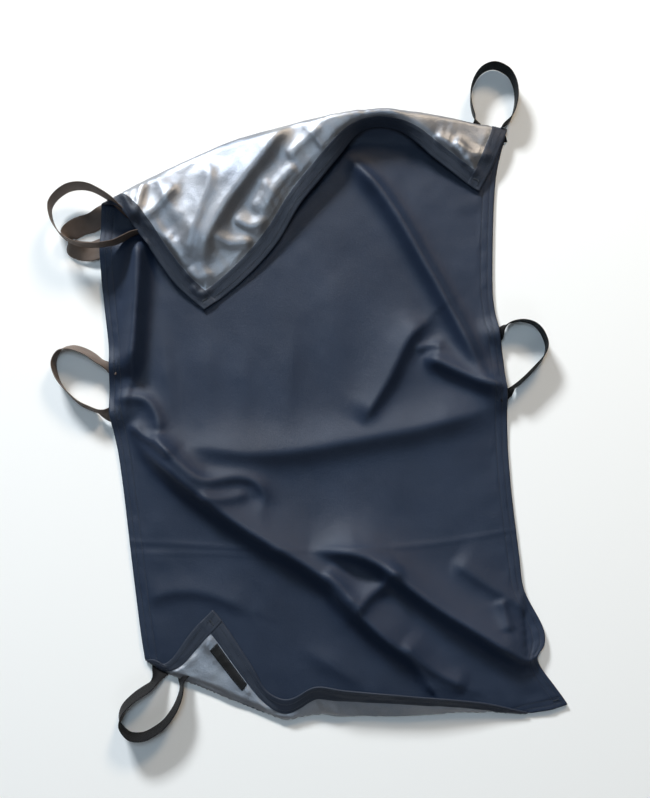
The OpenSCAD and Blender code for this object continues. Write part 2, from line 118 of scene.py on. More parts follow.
# Folds of the turned-over top part, in the same way
FLAP_WRINKLES = [
    ([(4, 371), (-21, 348), (-65, 300), (-94, 267), (-121, 225), (-132, 192)], 14, 11, 24, 1.3),
    ([(-113, 332), (-109, 303), (-127, 264), (-143, 227), (-149, 200)], 8, 10, 20, 1.4),
    ([(-207, 256), (-214, 278), (-221, 299)], 6, 5, 6, 1.2),
    ([(-207, 256), (-200, 284), (-190, 311)], 7, 6, 5, 1.2),
    ([(-207, 256), (-192, 262), (-171, 279), (-150, 300)], 7, 10, 6, 1.3),
    ([(-207, 256), (-186, 246), (-164, 222), (-150, 190)], 5, 7, 8, 1.3),
    ([(-112, 233), (-100, 223), (-84, 219), (-62, 222)], 6, 10, 4, 1.1),
    ([(-86, 252), (-74, 243), (-60, 238), (-42, 250)], 7, 11, 4, 1.1),
    ([(-54, 250), (-42, 264), (-28, 286), (-12, 302), (2, 314)], 6, 10, 6, 1.2),
    ([(-12, 318), (2, 332), (18, 344), (38, 358)], 5, 9, 6, 1.2),
    ([(-62, 258), (-46, 276), (-38, 300)], 4, 5, 8, 1.2),
    ([(-149, 192), (-137, 179), (-119, 186)], 5, 8, 4, 1.1),
    ([(-146, 172), (-134, 160), (-121, 166)], 3.5, 6, 3, 1.2),
    ([(-60, 340), (-95, 300), (-100, 270)], 4, 14, 14, 1.6),
    ([(-178, 318), (-165, 280), (-150, 250)], 4, 12, 10, 1.5),
    ([(176, 336), (200, 325), (211, 310), (217, 296)], 5, 7, 5, 1.3),
    ([(201, 332), (222, 313), (250, 308)], 5, 7, 5, 1.3),
    ([(217, 310), (229, 286)], 4, 4, 4, 1.3),
]

# Where a loop comes out beneath a long edge the edge stands up a little: (across, along), how
# high, and how far the lift reaches across and along
LOOP_ROOTS = [(0, 467), (0, 408), (0, 664), (0, 626), (520, 499), (520, 422)]
ROOT_LIFT, ROOT_ACROSS, ROOT_ALONG = 10.0, 24, 17

# How far the smooth maps may miss a mark, and the unit they count in, mm
MARK_SLACK, MAP_UNIT = 0.02, 100
# The face of the panel where it lies flat, and how high it climbs under the folded top edge
PANEL_Z, WALL_Z = 4, 22
# The least height of the cloth's middle over the floor, and between two of its layers
FLOOR_GAP, LAYER_GAP = 1.6, 2.5
# How strongly the free edges and the fold lines keep their places while the cloth settles
EDGE_HOLD, FOLD_HOLD = 0.25, 0.10
# The panel's heights are kept on a map of square cells: its corner, cell size and cell counts
MAP_CORNER, MAP_CELL, MAP_COUNT = (-320, -420), 5, (128, 176)


def thin_plate(marks):
    """Smooth map from flat (across, along) to laid (x, y, z) through all the marks."""
    marks = np.array(marks, float)
    src, dst = marks[:, :2] / MAP_UNIT, marks[:, 2:]
    n = len(src)

    def kernel(a, b):
        r2 = ((a[:, None, :] - b[None, :, :]) ** 2).sum(-1)
        return 0.5 * r2 * np.log(r2 + 1e-12)

    system = np.zeros((n + 3, n + 3))
    system[:n, :n] = kernel(src, src) + np.eye(n) * MARK_SLACK
    system[:n, n] = system[n, :n] = 1
    system[:n, n + 1:] = src
    system[n + 1:, :n] = src.T
    weights = np.linalg.solve(system, np.vstack([dst, np.zeros((3, 3))]))

    def place(flat):
        q = flat / MAP_UNIT
        return kernel(q, src) @ weights[:n] + weights[n] + q @ weights[n + 1:]
    return place


def segment_distance(points, line):
    """Signed distance to a polyline (positive on its left) and the place along it, 0 to 1."""
    best = np.full(len(points), 1e9)
    side = np.ones(len(points))
    along = np.zeros(len(points))
    line = np.array(line, float)
    lengths = np.linalg.norm(np.diff(line, axis=0), axis=1)
    total, run = lengths.sum(), 0.0
    for a, b, length in zip(line[:-1], line[1:], lengths):
        u = (b - a) / length
        rel = points - a
        t = np.clip(rel @ u, 0, length)
        off = rel - t[:, None] * u
        dist = np.linalg.norm(off, axis=1)
        closer = dist < best
        best = np.where(closer, dist, best)
        side = np.where(closer, np.sign(u[0] * rel[:, 1] - u[1] * rel[:, 0]), side)
        along = np.where(closer, (run + t) / total, along)
        run += length
    return best * side, along


def smoothstep(x, low, high):
    """0 below low, 1 above high, and a smooth rise between them."""
    t = np.clip((x - low) / (high - low), 0, 1)
    return t * t * (3 - 2 * t)


def rounded_line(line, steps=4):
    """A polyline with its corners rounded by a smooth curve through its points."""
    p = np.array(line, float)
    p = np.vstack([2 * p[0] - p[1], p, 2 * p[-1] - p[-2]])
    f = np.arange(steps)[:, None] / steps
    parts = [0.5 * (2 * b + (c - a) * f + (2 * a - 5 * b + 4 * c - d) * f ** 2
                    + (3 * b - a - 3 * c + d) * f ** 3)
             for a, b, c, d in zip(p[:-3], p[1:-2], p[2:-1], p[3:])]
    return np.vstack(parts + [p[-2:-1]])


def wrinkle_height(xy, wrinkles):
    """Height of the designed folds over the laid cloth. A crisp fold begins and ends quickly."""
    z = np.zeros(len(xy))
    for line, height, left, right, fade in wrinkles:
        d, along = segment_distance(xy, rounded_line(line))
        width = np.where(d > 0, left, right)
        rise = 0.18 if fade < 1.6 else 0.55
        taper = smoothstep(along, 0, rise) * (1 - smoothstep(along, 1 - rise, 1.0) * 0.75)
        z += height * taper * np.exp(-(np.abs(d) / width) ** fade)
    return z


def flat_grid(step):
    """Places (across, along) on the cut sheet, about step mm apart."""
    across = np.linspace(0, SHEET_W, int(round(SHEET_W / step)) + 1)
    along = np.linspace(0, SHEET_L, int(round(SHEET_L / step)) + 1)
    s, t = np.meshgrid(across, along, indexing="ij")
    return s, t


def fold_height(s, fold):
    """How far along the sheet a fold line runs at each place across it."""
    fold = np.array(fold, float)
    return np.interp(s, fold[:, 0], fold[:, 1])


def roll_up(part, over, radius, base, side):
    """Bend the strip next to a fold round a roll. side is -1 below the fold and 1 above it.
    The cloth that the roll takes up is pushed outward, less and less over the next 50 mm."""
    taken_up, fade = 0.57 * radius, 50
    reach = np.abs(over)
    quarter = radius * np.pi / 2
    angle = np.minimum(reach / radius, np.pi / 2)
    push = np.where(reach < quarter, reach - radius * (1 - np.cos(angle)),
                    taken_up * np.exp(-(reach - quarter) / fade))
    outward = np.gradient(part, axis=1)[..., :2] * -side
    outward /= np.linalg.norm(outward, axis=-1, keepdims=True)
    part[..., :2] += outward * push[..., None]
    bend_z = base + radius * (1 + side * np.sin(angle))
    least = part[..., 2] if side < 0 else 0
    part[..., 2] = np.where(reach < quarter, np.maximum(bend_z, least), part[..., 2])


def designed_sheet(step):
    """First shape of the laid cloth on a grid, and how far each point is past the two folds."""
    s, t = flat_grid(step)
    flat = np.stack([s.ravel(), t.ravel()], 1)
    over_top = t - fold_height(s, TOP_FOLD)
    over_bottom = fold_height(s, BOTTOM_FOLD) - t
    panel = thin_plate(LEFT_EDGE + RIGHT_EDGE + TOP_FOLD + BOTTOM_FOLD)(flat)
    top = thin_plate(TOP_FOLD + TOP_FLAP)(flat)
    bottom = thin_plate(BOTTOM_FOLD + BOTTOM_FLAP)(flat)
    wall = WALL_Z * np.interp(s, [0, 160, 270, 310, 360, 420, 520], [0.1, 0.2, 0.7, 1.0, 1.0, 0.4, 0.1])
    panel[:, 2] = PANEL_Z + wrinkle_height(panel[:, :2], WRINKLES)
    panel[:, 2] += wall.ravel() * (1 - smoothstep(-over_top.ravel(), -10, 48))
    top[:, 2] += wrinkle_height(top[:, :2], FLAP_WRINKLES)
    top_r = (np.interp(s, *np.array(TOP_FOLD)[:, [0, 4]].T) - PANEL_Z - wall) / 2
    panel, top = (q.reshape(s.shape + (3,)) for q in (panel, top))
    roll_up(panel, over_top, top_r, PANEL_Z + wall, -1)
    roll_up(top, over_top, top_r, PANEL_Z + wall, 1)
    shape = np.where((over_top > 0)[..., None], top, panel)
    shape = np.where((over_bottom > 0)[..., None], bottom.reshape(s.shape + (3,)), shape)
    return shape, over_top, over_bottom


def enlarge(grid, shape):
    """Resample a grid of points to more rows and columns."""
    for axis in (0, 1):
        old = np.linspace(0, 1, grid.shape[axis])
        new = np.linspace(0, 1, shape[axis])
        i = np.clip(np.searchsorted(old, new, side="right") - 1, 0, len(old) - 2)
        f = ((new - old[i]) / (old[i + 1] - old[i])).reshape((-1, 1, 1) if axis == 0 else (1, -1, 1))
        grid = np.take(grid, i, axis) * (1 - f) + np.take(grid, i + 1, axis) * f
    return grid


def pull_pairs(p, di, dj, rest, stretch, squeeze):
    """Bring neighbours (di, dj) apart to their cut distance: stretch resists more than squeeze."""
    ni, nj = p.shape[:2]
    for phase in (0, 1):
        if di:
            a = p[phase:ni - di:2, max(0, -dj):nj - max(0, dj)]
            b = p[phase + di:ni:2, max(0, dj):nj + min(0, dj)]
            a = a[:len(b)]
            b = b[:len(a)]
        else:
            a = p[:, phase:nj - dj:2]
            b = p[:, phase + dj:nj:2]
            a = a[:, :b.shape[1]]
            b = b[:, :a.shape[1]]
        d = b - a
        length = np.sqrt((d * d).sum(-1, keepdims=True)) + 1e-9
        k = np.where(length > rest, stretch, squeeze)
        move = d * (0.5 * k * (length - rest) / length)
        a += move
        b -= move


def bend(p, k):
    """Even out sharp bends along both ways of the weave."""
    for axis in (0, 1):
        q = np.moveaxis(p, axis, 0)
        lap = q[:-2] + q[2:] - 2 * q[1:-1]
        q[1:-1] += k * 0.5 * lap
        q[:-2] -= k * 0.25 * lap
        q[2:] -= k * 0.25 * lap


def map_cells(points):
    """Row and column of the floor's cell that each point lies over."""
    return tuple(((points[:, axis] - MAP_CORNER[axis]) / MAP_CELL).astype(int).clip(0, MAP_COUNT[axis] - 1)
                 for axis in (0, 1))


def height_map(points):
    """Highest point of the panel over each cell of the floor and its neighbours."""
    grid = np.full(MAP_COUNT, -1e3)
    np.maximum.at(grid, map_cells(points), points[:, 2])
    spread = grid.copy()
    spread[1:] = np.maximum(spread[1:], grid[:-1])
    spread[:-1] = np.maximum(spread[:-1], grid[1:])
    wide = spread.copy()
    wide[:, 1:] = np.maximum(wide[:, 1:], spread[:, :-1])
    wide[:, :-1] = np.maximum(wide[:, :-1], spread[:, 1:])
    return wide


def relax(p, step, rounds, design, over_top, over_bottom, hold, bending):
    """Settle the cloth: it keeps its cut lengths, bends softly, and lies on the floor and itself.
    What is well past a fold lies over what is well short of both."""
    edge = np.zeros(p.shape[:2])
    edge[0], edge[-1], edge[:, 0], edge[:, -1] = 1, 1, 1, 1
    fold = np.minimum(np.abs(over_top), np.abs(over_bottom)) < step * 0.6
    weight = np.where(edge > 0, EDGE_HOLD, hold)
    weight = np.where(fold, FOLD_HOLD, weight)[..., None]
    upper = (over_top > 14) | (over_bottom > 10)
    lower = (over_top < -16) & (over_bottom < -14)
    for k in range(rounds):
        p[..., 2] -= 0.02
        bend(p, bending)
        pull_pairs(p, 1, 1, step * 2 ** 0.5, 0.3, 0.08)
        pull_pairs(p, 1, -1, step * 2 ** 0.5, 0.3, 0.08)
        pull_pairs(p, 1, 0, step, 0.8, 0.25)
        pull_pairs(p, 0, 1, step, 0.8, 0.25)
        p += (design - p) * weight
        p[..., 2] = np.maximum(p[..., 2], FLOOR_GAP)
        if k % 4 == 0:
            tops = height_map(p[lower])
            q = p[upper]
            q[:, 2] = np.maximum(q[:, 2], tops[map_cells(q)] + LAYER_GAP)
            p[upper] = q
    return p


# Settling runs on finer and finer grids: mesh step in mm, rounds, how strongly the cloth keeps to
# its designed shape, and its stiffness in bending
STAGES = [(10.0, 120, 0.05, 0.25), (5.0, 90, 0.06, 0.3), (2.5, 26, 0.17, 0.11)]


def laid_cloth():
    """Middle surface of the laid sheet, a grid of points in mm."""
    p = None
    for step, rounds, hold, bending in STAGES:
        design, over_top, over_bottom = designed_sheet(step)
        p = design.copy() if p is None else enlarge(p, design.shape)
        p = relax(p, step, rounds, design, over_top, over_bottom, hold, bending)
    s, t = flat_grid(step)
    for edge, along in LOOP_ROOTS:
        p[..., 2] += ROOT_LIFT * np.exp(-((t - along) / ROOT_ALONG) ** 2 - ((s - edge) / ROOT_ACROSS) ** 2)
    return p


# ---------------- the cloth as a smooth surface
mid_grid = laid_cloth()


def value_noise(x, y, size, seed):
    """Smooth noise from -1 to 1 whose bumps are about size mm across."""
    table = np.random.default_rng(seed).uniform(-1, 1, (64, 64))
    u, v = x / size + 1000, y / size + 1000
    i, j = np.floor(u).astype(int), np.floor(v).astype(int)
    a, b = u - i, v - j
    a, b = a * a * (3 - 2 * a), b * b * (3 - 2 * b)
    low = table[i % 64, j % 64] * (1 - a) + table[(i + 1) % 64, j % 64] * a
    high = table[i % 64, (j + 1) % 64] * (1 - a) + table[(i + 1) % 64, (j + 1) % 64] * a
    return low * (1 - b) + high * b


def cubic_weights(f):
    """Weights of four neighbours for the smooth curve between the middle two."""
    return np.stack([-0.5 * f + f ** 2 - 0.5 * f ** 3, 1 - 2.5 * f ** 2 + 1.5 * f ** 3,
                     0.5 * f + 2 * f ** 2 - 1.5 * f ** 3, -0.5 * f ** 2 + 0.5 * f ** 3])


def smooth_lookup(grid, s, t):
    """Value of a grid of points at flat places (s, t) in mm, by cubic interpolation."""
    u = np.clip(s / SHEET_W, 0, 1) * (grid.shape[0] - 1)
    v = np.clip(t / SHEET_L, 0, 1) * (grid.shape[1] - 1)
    i = np.clip(np.floor(u).astype(int), 0, grid.shape[0] - 2)
    j = np.clip(np.floor(v).astype(int), 0, grid.shape[1] - 2)
    wu, wv = cubic_weights(u - i), cubic_weights(v - j)
    out = 0
    for a in range(4):
        ia = np.clip(i + a - 1, 0, grid.shape[0] - 1)
        row = 0
        for b in range(4):
            jb = np.clip(j + b - 1, 0, grid.shape[1] - 1)
            row = row + wv[b][..., None] * grid[ia, jb]
        out = out + wu[a][..., None] * row
    return out


def unit(v):
    """The vectors v at length 1."""
    return v / (np.linalg.norm(v, axis=-1, keepdims=True) + 1e-12)


grid_normals = unit(np.cross(np.gradient(mid_grid, axis=0), np.gradient(mid_grid, axis=1)))

# Distances of the two stitch rows from the edge
OUTER_ROW, INNER_ROW = 7.0, 15.5
# Creases left by storage: points (across, along), height and width
STORAGE_CREASES = [([(0, 246), (180, 244), (340, 250), (520, 254)], 0.7, 3.0),
                   ([(0, 232), (110, 236), (190, 238)], 0.5, 2.5)]
# Heights of the ripples: large, small, between the stitch rows, past the hem, and the dent of a row
LARGE_RIPPLE, SMALL_RIPPLE, ROW_RIPPLE, HEM_RIPPLE, ROW_DENT = 0.60, 0.24, 0.42, 0.75, 0.22


def edge_distances(s, t):
    """For each of the four edges: the distance from it and the place along it."""
    return (s, t), (SHEET_W - s, t), (t, s), (SHEET_L - t, s)


def pucker(s, t):
    """Height in mm of the small ripples that sewing and storage leave in both cloths."""
    h = LARGE_RIPPLE * value_noise(s, t, 46, 3) + SMALL_RIPPLE * value_noise(s, t, 19, 5)
    for k, (d, run) in enumerate(edge_distances(s, t)):
        between_rows = np.exp(-((d - 11) / 5) ** 2)
        past_hem = smoothstep(d, 15, 22) * np.exp(-np.maximum(d - 22, 0) / 22)
        h += between_rows * ROW_RIPPLE * value_noise(run, d * 0.25, 9, 11 + k)
        h += past_hem * HEM_RIPPLE * value_noise(run, d * 0.4, 15, 31 + k)
        for row in (OUTER_ROW, INNER_ROW):
            h -= ROW_DENT * np.exp(-((d - row) / 1.3) ** 2)
    for line, depth, width in STORAGE_CREASES:
        dist, _ = segment_distance(np.stack([np.ravel(s), np.ravel(t)], 1), line)
        h += (depth * np.exp(-(dist / width) ** 2)).reshape(np.shape(s))
    return h


def on_sheet(s, t, offset):
    """Points in mm at flat places (s, t), offset from the middle towards the dark side."""
    s, t, offset = np.broadcast_arrays(*(np.asarray(a, float) for a in (s, t, offset)))
    place = smooth_lookup(mid_grid, s, t)
    normal = unit(smooth_lookup(grid_normals, s, t))
    points = place + normal * (offset + pucker(s, t))[..., None]
    points[..., 2] = np.maximum(points[..., 2], 0.1)
    return points


# ---------------- meshes
def make_piece(name, points, faces, uv, material, replaces, slot, body="sheet"):
    """A mesh piece from points in mm, groups of faces as rows of corner numbers, and one uv for
    each point. It stands for the CAD nodes in replaces, and rides on body unless that is None."""
    mesh = bpy.data.meshes.new(name)
    points = np.asarray(points, float).reshape(-1, 3) / 1000
    counts = np.concatenate([np.full(len(group), group.shape[1]) for group in faces])
    loops = np.concatenate([group.ravel() for group in faces])
    mesh.vertices.add(len(points))
    mesh.vertices.foreach_set("co", points.astype(np.float32).ravel())
    mesh.loops.add(len(loops))
    mesh.loops.foreach_set("vertex_index", loops.astype(np.int32))
    mesh.polygons.add(len(counts))
    mesh.polygons.foreach_set("loop_start", (np.cumsum(counts) - counts).astype(np.int32))
    mesh.polygons.foreach_set("loop_total", counts.astype(np.int32))
    layer = mesh.uv_layers.new(name="flat")
    uv = np.asarray(uv, float).reshape(-1, 2)[loops]
    layer.data.foreach_set("uv", uv.astype(np.float32).ravel())
    mesh.update(calc_edges=True)
    mesh.validate()
    mesh.polygons.foreach_set("use_smooth", np.full(len(mesh.polygons), True))
    mesh.materials.append(material)
    piece = bpy.data.objects.new(name, mesh)
    bpy.context.scene.collection.objects.link(piece)
    if body:
        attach(piece, body)
    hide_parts(*replaces)
    return piece


def layer_faces(ni, nj, start=0):
    """Faces of a closed layer: a grid of ni by nj points, the same grid below it, and the rim."""
    count = ni * nj
    n = np.arange(count).reshape(ni, nj) + start
    upper = np.stack([n[:-1, :-1], n[1:, :-1], n[1:, 1:], n[:-1, 1:]], -1).reshape(-1, 4)
    rim = np.concatenate([n[:, 0], n[-1, 1:], n[-2::-1, -1], n[0, -2:0:-1]])
    after = np.roll(rim, -1)
    sides = np.stack([rim, rim + count, after + count, after], 1)
    return np.concatenate([upper, upper[:, ::-1] + count, sides])


def slab(name, s, t, top, bottom, material, **facts):
    """A closed layer of cloth over a grid of flat places, between two offsets."""
    points = np.stack([on_sheet(s, t, top), on_sheet(s, t, bottom)])
    uv = np.tile(np.stack([s.ravel(), t.ravel()], 1) / 1000, (2, 1))
    return make_piece(name, points, [layer_faces(*s.shape)], uv, material, **facts)


def tube_faces(count, around):
    """Faces of a tube of count rings, each a closed loop of around points, with its two ends."""
    n = np.arange(count * around).reshape(count, around)
    m = np.roll(n, -1, 1)
    quads = np.stack([n[:-1], n[1:], m[1:], m[:-1]], -1).reshape(-1, 4)
    return [quads, np.stack([n[0], n[-1][::-1]])]


# ---------------- materials
def node_material(name):
    """A new material with one principled shader, and the parts needed to build it up."""
    material = bpy.data.materials.new(name)
    material.use_nodes = True
    nodes, links = material.node_tree.nodes, material.node_tree.links
    nodes.clear()
    out = nodes.new("ShaderNodeOutputMaterial")
    shader = nodes.new("ShaderNodeBsdfPrincipled")
    links.new(shader.outputs[0], out.inputs[0])
    return material, nodes, links, shader


def set_inputs(node, values):
    """Give a node's inputs their values, by name."""
    for name, value in values.items():
        node.inputs[name].default_value = value


def crossed_waves(nodes, links, waves):
    """Two sets of waves, each a (direction, scale), across each other in the cloth's own uv."""
    coords = nodes.new("ShaderNodeUVMap")
    product = nodes.new("ShaderNodeMath")
    product.operation = "MULTIPLY"
    for k, (direction, scale) in enumerate(waves):
        wave = nodes.new("ShaderNodeTexWave")
        wave.bands_direction = direction
        wave.inputs["Scale"].default_value = scale
        links.new(coords.outputs[0], wave.inputs["Vector"])
        links.new(wave.outputs["Fac"], product.inputs[k])
    return product.outputs[0]


def noise(nodes, links, scale, detail):
    """Cloudy noise from 0 to 1."""
    where = nodes.new("ShaderNodeTexCoord")
    tex = nodes.new("ShaderNodeTexNoise")
    set_inputs(tex, {"Scale": scale, "Detail": detail, "Roughness": 0.55})
    links.new(where.outputs["Object"], tex.inputs["Vector"])
    return tex.outputs["Fac"]


def bump(nodes, links, height, strength, distance, under=None):
    """Surface relief from a height, on top of the relief under."""
    node = nodes.new("ShaderNodeBump")
    set_inputs(node, {"Strength": strength, "Distance": distance})
    links.new(height, node.inputs["Height"])
    if under is not None:
        links.new(under, node.inputs["Normal"])
    return node.outputs[0]


def ramp(nodes, links, value, stops):
    """A colour that runs between two stops, each a (value, colour)."""
    node = nodes.new("ShaderNodeValToRGB")
    for element, (place, colour) in zip(node.color_ramp.elements, stops):
        element.position = place
        element.color = (*colour, 1)
    links.new(value, node.inputs[0])
    return node.outputs[0]


GRAIN = 0.3  # how much of the cloth's tone follows its finest specks
SKY_TINT = (0.5, 0.68, 1.0)  # colour of the sheen on the dark cloth


def cloth_material(name, dark, light, rough, weave, weave_depth, crinkle, sheen=0.0,
                   sheen_tint=(1, 1, 1), metallic=0.0, specular=0.5, scale=9.0):
    """Woven cloth: cloudy and speckled tone and roughness, with crumples, grain and weave as
    relief. weave is the scale of its waves and scale that of the clouds."""
    material, nodes, links, shader = node_material(name)
    cloud = noise(nodes, links, scale, 5.0)
    speck = noise(nodes, links, 900.0, 2.0)
    tone = nodes.new("ShaderNodeMath")
    tone.operation = "MULTIPLY_ADD"
    tone.inputs[1].default_value = GRAIN
    links.new(speck, tone.inputs[0])
    links.new(cloud, tone.inputs[2])
    stops = [(0.3 + GRAIN / 2, dark), (0.7 + GRAIN / 2, light)]
    links.new(ramp(nodes, links, tone.outputs[0], stops), shader.inputs["Base Color"])
    rough_mix = nodes.new("ShaderNodeMapRange")
    set_inputs(rough_mix, {"To Min": rough - 0.07, "To Max": rough + 0.09})
    links.new(speck, rough_mix.inputs["Value"])
    links.new(rough_mix.outputs[0], shader.inputs["Roughness"])
    crumples = bump(nodes, links, noise(nodes, links, 60.0, 4.0), crinkle, 0.0012)
    grain = bump(nodes, links, noise(nodes, links, 420.0, 3.0), crinkle * 1.6, 0.0005, crumples)
    threads = crossed_waves(nodes, links, (("X", weave), ("Y", weave)))
    links.new(bump(nodes, links, threads, weave_depth, 0.0002, grain), shader.inputs["Normal"])
    set_inputs(shader, {"Metallic": metallic, "Specular IOR Level": specular, "Sheen Weight": sheen,
                        "Sheen Roughness": 0.45, "Sheen Tint": (*sheen_tint, 1)})
    return material


SHELL = cloth_material("shell_cloth", (0.009, 0.016, 0.034), (0.016, 0.026, 0.050), rough=0.45,
                       weave=800, weave_depth=0.35, crinkle=0.20, sheen=0.06, sheen_tint=SKY_TINT,
                       specular=0.28)
HEM_CLOTH = cloth_material("hem_cloth", (0.013, 0.018, 0.031), (0.023, 0.030, 0.046), rough=0.45,
                           weave=800, weave_depth=0.35, crinkle=0.22, sheen=0.05,
                           sheen_tint=SKY_TINT, specular=0.36)
SILVER = cloth_material("silver_cloth", (0.19, 0.205, 0.235), (0.33, 0.33, 0.34), rough=0.42,
                        weave=700, weave_depth=0.25, crinkle=0.35, metallic=0.85, scale=14.0)
THREAD = cloth_material("thread", (0.010, 0.015, 0.024), (0.018, 0.025, 0.038), rough=0.55,
                        weave=1500, weave_depth=0.5, crinkle=0.2, sheen=0.05)
LABEL = cloth_material("label_tape", (0.005, 0.005, 0.0055), (0.010, 0.010, 0.010), rough=0.5,
                       weave=1300, weave_depth=0.5, crinkle=0.1, sheen=0.02, specular=0.2)


def webbing_material(name, dark, light):
    """Flat webbing: fine lengthwise ribs crossed by slanting picks."""
    material, nodes, links, shader = node_material(name)
    cloud = noise(nodes, links, 40.0, 4.0)
    links.new(ramp(nodes, links, cloud, [(0.3, dark), (0.7, light)]), shader.inputs["Base Color"])
    ribs = crossed_waves(nodes, links, (("X", 320.0), ("DIAGONAL", 260.0)))
    links.new(bump(nodes, links, ribs, 0.5, 0.0004), shader.inputs["Normal"])
    set_inputs(shader, {"Roughness": 0.6, "Sheen Weight": 0.02, "Specular IOR Level": 0.12})
    return material


WEBBING = webbing_material("webbing", (0.003, 0.003, 0.0035), (0.007, 0.0065, 0.007))
# A lit copy of the black webbing: its warm taupe tone is painted light, the look of a warm lamp grazing
# the loops on the left
WEBBING_PAINTED_LIGHT = webbing_material("webbing_painted_light", (0.115, 0.085, 0.068), (0.175, 0.135, 0.112))

# ---------------- the two cloths
# Distances from an edge at which the cloths have points, closer together at the stitch rows
NEAR_EDGE = [0.8, 1.8, 3, 4.4, 5.6, 6.5, 7, 7.5, 8.3, 9.6, 11, 12.4, 13.7, 14.6, 15.1, 15.5, 15.9, 16.6,
             17.6, 18.8, 20, 22, 24.5]


def cuts(length, first, inner):
    """Places from edge to edge, beginning first mm in, with about inner mm between them."""
    near = [d for d in NEAR_EDGE if d >= first]
    middle = np.linspace(near[-1], length - near[-1], int((length - 2 * near[-1]) / inner) + 1)[1:-1]
    return np.concatenate([near, middle, [length - d for d in near[::-1]]])


s, t = np.meshgrid(cuts(SHEET_W, 0.8, 2.9), cuts(SHEET_L, 0.8, 2.9), indexing="ij")
outer_cloth = slab("outer_cloth", s, t, 0.75, 0.2, SHELL, replaces=["shell_panel"], slot="shell_cloth")


def on_flap(s, t):
    """1 on the folded parts, where the lining lies on top, and 0 on the panel."""
    top = smoothstep(t - fold_height(s, TOP_FOLD), -8, 14)
    bottom = smoothstep(fold_height(s, BOTTOM_FOLD) - t, -6, 8)
    return np.maximum(top, bottom)


# Heights of the lining's puffs: large, small, and those gathered by the hem
LARGE_PUFF, SMALL_PUFF, HEM_PUFF = 0.6, 0.15, 1.5


def crinkle(s, t):
    """Puffs and creases of the lining, in mm away from the outer cloth."""
    a = 1 - np.abs(value_noise(s + 9 * value_noise(s, t, 30, 61), t, 34, 62))
    b = 1 - np.abs(value_noise(s, t + 6 * value_noise(s, t, 18, 63), 15, 64))
    puff = LARGE_PUFF * a * a + SMALL_PUFF * b * b
    for k, (d, run) in enumerate(edge_distances(s, t)):
        fade = smoothstep(d, 18, 26) * np.exp(-np.maximum(d - 26, 0) / 26)
        puff = puff + fade * HEM_PUFF * (1 - np.abs(value_noise(run, d * 0.35, 13, 71 + k)))
    near_hem = np.minimum(np.minimum(s, SHEET_W - s), np.minimum(t, SHEET_L - t))
    return puff * on_flap(s, t) * smoothstep(near_hem, 17, 27)


s, t = np.meshgrid(cuts(SHEET_W, 17.6, 2.4), cuts(SHEET_L, 17.6, 2.4), indexing="ij")
silver_cloth = slab("silver_cloth", s, t, -0.15, -0.7 - crinkle(s, t), SILVER,
                    replaces=["silver_lining"], slot="silver_cloth")

# ---------------- hems
def hem_profile(extra):
    """Outline of the turned hem: distances from the edge and offsets, round the edge and back.
    extra is how much lower its underside lies."""
    across = np.array([2.2, 3.6, 5, 6, 6.6, 7, 7.4, 8.2, 9.5, 11, 12.5, 13.8, 14.7, 15.2, 15.5,
                       15.9, 16.7, 18, 19.2])
    dip = sum(0.25 * np.exp(-((across - row) / 1.0) ** 2) for row in (OUTER_ROW, INNER_ROW))
    outside = [(1.9, 0.70), (1.0, 0.68), (0.35, 0.35), (0.0, -0.3), (0.2, -1.0), (0.7, -1.45)]
    outside += [(d, -1.6 + q) for d, q in zip(across, dip)] + [(19.8, -1.5), (20.0, -1.25), (19.6, -1.0)]
    inside = [(d, -0.95) for d in across[::-3]] + [(1.6, -0.8), (1.2, -0.3), (1.9, 0.15)]
    d, n = np.array(outside + inside).T
    return d, n - extra * smoothstep(-n, 0.2, 1.0)


# Each hem's flat (across, along) from a distance d from its edge and a run r along it
PLACES = {"left": lambda d, r: (d, r), "right": lambda d, r: (SHEET_W - d, r),
          "top": lambda d, r: (r, SHEET_L - d), "bottom": lambda d, r: (r, d)}


def hem(side, run, extra):
    """The hem of one side, swept along its run. extra is how much thicker it is at each place."""
    rings, uvs = [], []
    for r, e in zip(run, extra):
        d, n = hem_profile(e)
        s, t = PLACES[side](d, r)
        rings.append(on_sheet(s, t, n))
        uvs.append(np.stack(np.broadcast_arrays(s, t), 1) / 1000)
    rings = np.array(rings)
    return make_piece(f"{side}_hem_band", rings, tube_faces(*rings.shape[:2]), np.array(uvs),
                      HEM_CLOTH, [f"{side}_hem"], "hem_cloth")


# How much thicker a side hem is where it lies over an end hem
CORNER_EXTRA = 0.7


def corner_extra(run):
    """Extra thickness along a side hem."""
    return CORNER_EXTRA * (1 - smoothstep(run, 19, 25) + smoothstep(run, SHEET_L - 25, SHEET_L - 19))


long_run = np.concatenate([[0.6], np.arange(2, SHEET_L - 1, 2.0), [SHEET_L - 0.6]])
short_run = np.concatenate([[1.2], np.arange(3, SHEET_W - 2, 2.0), [SHEET_W - 1.2]])
long_extra = corner_extra(long_run)
hems = [hem("left", long_run, long_extra), hem("right", long_run[::-1], long_extra[::-1]),
        hem("top", short_run, 0 * short_run), hem("bottom", short_run[::-1], 0 * short_run)]

# ---------------- stitching
# A stitch's length, the gap after it, and the radius of the thread
STITCH, STITCH_GAP, THREAD_R = 2.9, 0.45, 0.27
# A stitch has five rings: where along it, how thick, and how far out of the cloth, which its two
# ends go into
RING_AT = np.array([0.0, 0.12, 0.5, 0.88, 1.0])
RING_GIRTH = np.array([0.35, 0.85, 1.0, 0.85, 0.35])
RING_LIFT = np.array([-0.30, 0.0, 0.16, 0.0, -0.30])
RING_ANGLES = np.arange(6) / 6 * 2 * np.pi


